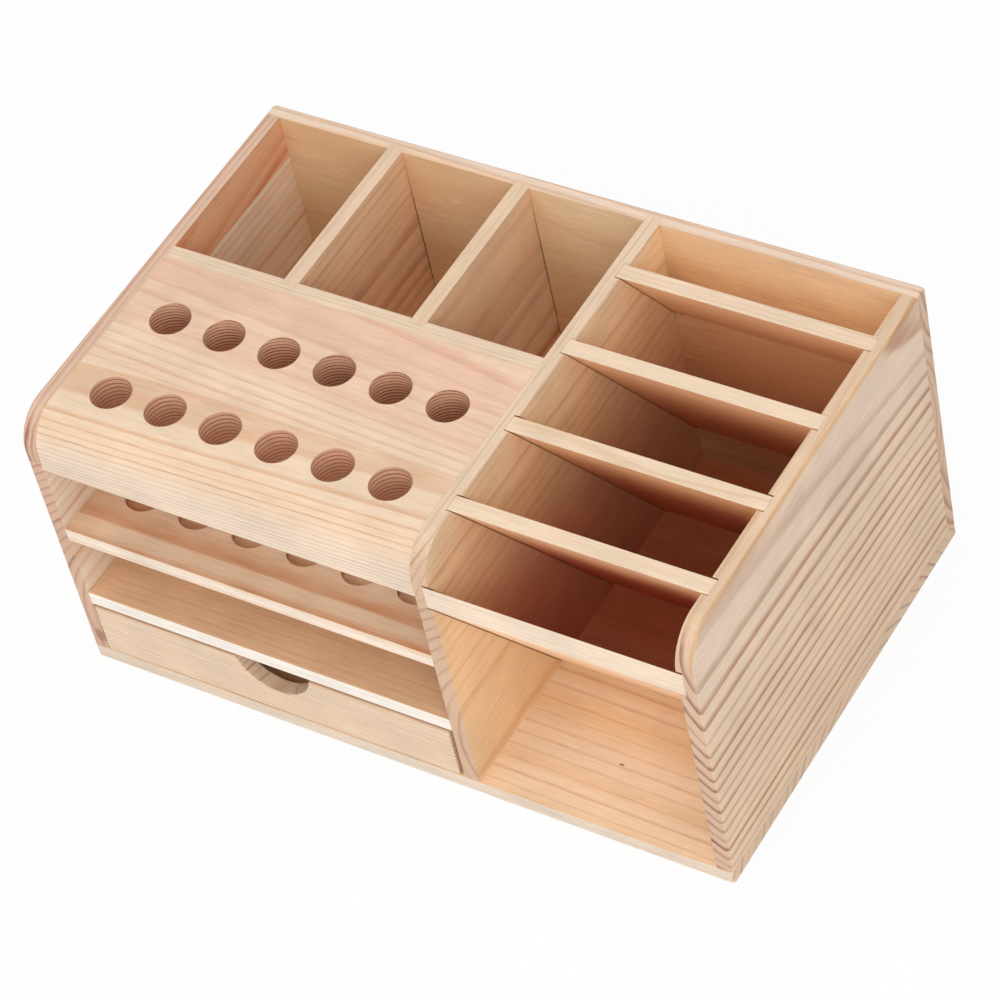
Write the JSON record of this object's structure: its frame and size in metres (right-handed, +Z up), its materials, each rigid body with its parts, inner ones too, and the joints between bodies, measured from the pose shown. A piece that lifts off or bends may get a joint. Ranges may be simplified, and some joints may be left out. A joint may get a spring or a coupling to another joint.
{
  "type": "desktop tool organizer with drawer",
  "caption": "Desktop pine tool organizer with a drilled tool block, open shelves, a drawer with a finger notch, deep rear compartments and a slanted divider rack over an open cubby.",
  "frame": {"origin": "middle of the underside of the base board", "axes": "+X to the right seen from the front, +Y to the back board, +Z up; the drawer and the open shelves face -Y"},
  "size_m": [0.35, 0.225, 0.165],
  "materials": {
    "panel_pine": "sanded, unfinished",
    "block_pine": "sanded, unfinished",
    "shelf_pine": "sanded, unfinished",
    "divider_pine": "sanded, unfinished",
    "base_pine": "sanded, unfinished",
    "drawer_pine": "sanded, unfinished",
    "drawer_ply": "thin plywood, sanded"
  },
  "bodies": {
    "carcass": {"base_board": "base_pine", "back_board": "panel_pine", "left_side_panel": "panel_pine", "middle_panel": "panel_pine", "right_side_panel": "panel_pine", "tool_block": "block_pine", "tool_shelf": "shelf_pine", "lower_shelf": "shelf_pine", "compartment_wall": "divider_pine", "compartment_divider_1": "divider_pine", "compartment_divider_2": "divider_pine", "slot_front_board": "divider_pine", "slot_divider_1": "divider_pine", "slot_divider_2": "divider_pine", "slot_divider_3": "divider_pine", "slot_divider_4": "divider_pine"},
    "drawer": {"drawer_front": "drawer_pine", "drawer_left_side": "drawer_pine", "drawer_right_side": "drawer_pine", "drawer_back": "drawer_pine", "drawer_bottom": "drawer_ply"}
  },
  "joints": [
    {"name": "drawer_slide", "type": "slide", "parent": "carcass", "child": "drawer", "axis": [0, -1, 0], "range_m": [0, 0.165]}
  ]
}
